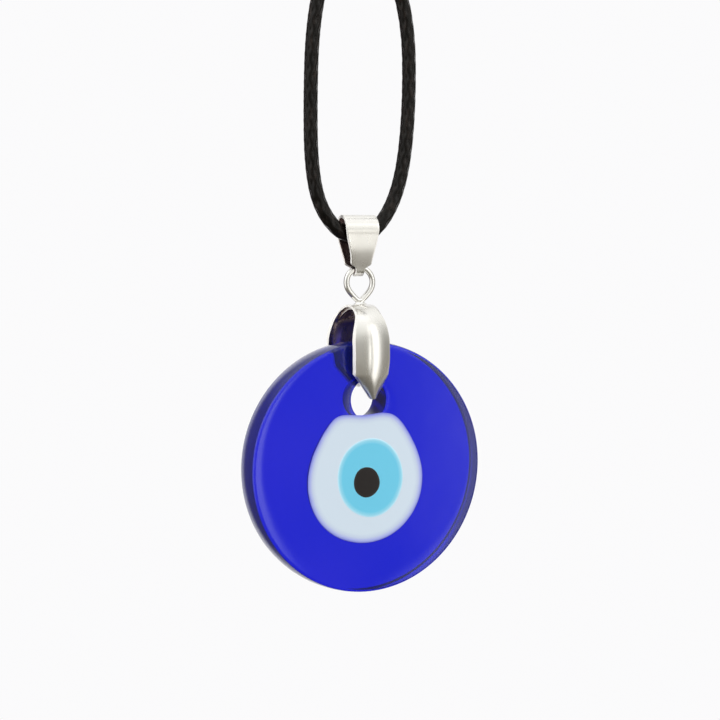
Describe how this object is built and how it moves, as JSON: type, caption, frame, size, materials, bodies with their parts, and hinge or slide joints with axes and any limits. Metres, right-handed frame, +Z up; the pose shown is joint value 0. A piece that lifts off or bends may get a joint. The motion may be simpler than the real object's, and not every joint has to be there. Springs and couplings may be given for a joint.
{
  "type": "evil eye pendant",
  "caption": "Round glass eye pendant in a folded metal pinch bail, hanging by a ring and a tapered ribbon bail from a cord loop that closes with a lobster clasp.",
  "frame": {"origin": "underside of the middle of the clasp, where the necklace is hung up", "axes": "+Z up along the hanging pendant, -Y towards the side that shows the eye, +X to the right seen from the front"},
  "size_m": [0.035, 0.009, 0.1089],
  "materials": {
    "cobalt_glass": "transparent cobalt blue glass, fire-polished faces and a softly rounded rim",
    "white_glass": "opaque milk-white glass, glossy, fused flush",
    "light_blue_glass": "opaque light blue glass, glossy",
    "black_glass": "opaque black glass, glossy",
    "silver_plate": "bright silver plating on a brass strip, lightly tumbled",
    "plated_wire": "bright silver plating on round wire",
    "waxed_cord": "black waxed cotton cord, tightly braided, dull sheen",
    "clasp_metal": "silver plated cast clasp parts and caps",
    "spring_steel": "bare spring wire"
  },
  "bodies": {
    "clasp": {"clasp_body": "clasp_metal", "clasp_pin": "clasp_metal", "clasp_spring": "spring_steel"},
    "clasp_lever": {"clasp_lever": "clasp_metal"},
    "cord_loop": {"cord": "waxed_cord", "cord_end_left": "clasp_metal", "cord_end_right": "clasp_metal", "clasp_ring_left": "plated_wire", "clasp_ring_right": "plated_wire"},
    "cord_bail": {"cord_bail": "silver_plate"},
    "pinch_bail": {"pinch_bail": "silver_plate", "pinch_bail_prong_front": "silver_plate", "pinch_bail_prong_back": "silver_plate", "pinch_bail_ring": "plated_wire"},
    "disc": {"glass_disc": "cobalt_glass", "eye_white": "white_glass", "eye_iris": "light_blue_glass", "eye_pupil": "black_glass"}
  },
  "joints": [
    {"name": "lever_press", "type": "hinge", "parent": "clasp", "child": "clasp_lever", "pos_m": [0.00055, 0, 0.00255], "axis": [0, 1, 0], "range_deg": [0, 22], "stiffness_Nm_per_rad": 0.0006, "springref_deg": -20.05},
    {"name": "loop_swing", "type": "hinge", "parent": "clasp", "child": "cord_loop", "pos_m": [0, 0, -0.0002], "axis": [1, 0, 0], "range_deg": [-45, 45]},
    {"name": "bail_swing", "type": "hinge", "parent": "cord_loop", "child": "cord_bail", "pos_m": [0, 0, -0.054], "axis": [1, 0, 0], "range_deg": [-42, 42]},
    {"name": "pendant_swing", "type": "hinge", "parent": "cord_bail", "child": "pinch_bail", "pos_m": [0, 0, -0.0592], "axis": [1, 0, 0], "range_deg": [-60, 60]},
    {"name": "disc_turn", "type": "hinge", "parent": "pinch_bail", "child": "disc", "pos_m": [0, 0, -0.07535], "axis": [0, 1, 0], "range_deg": [-60, 60]}
  ]
}
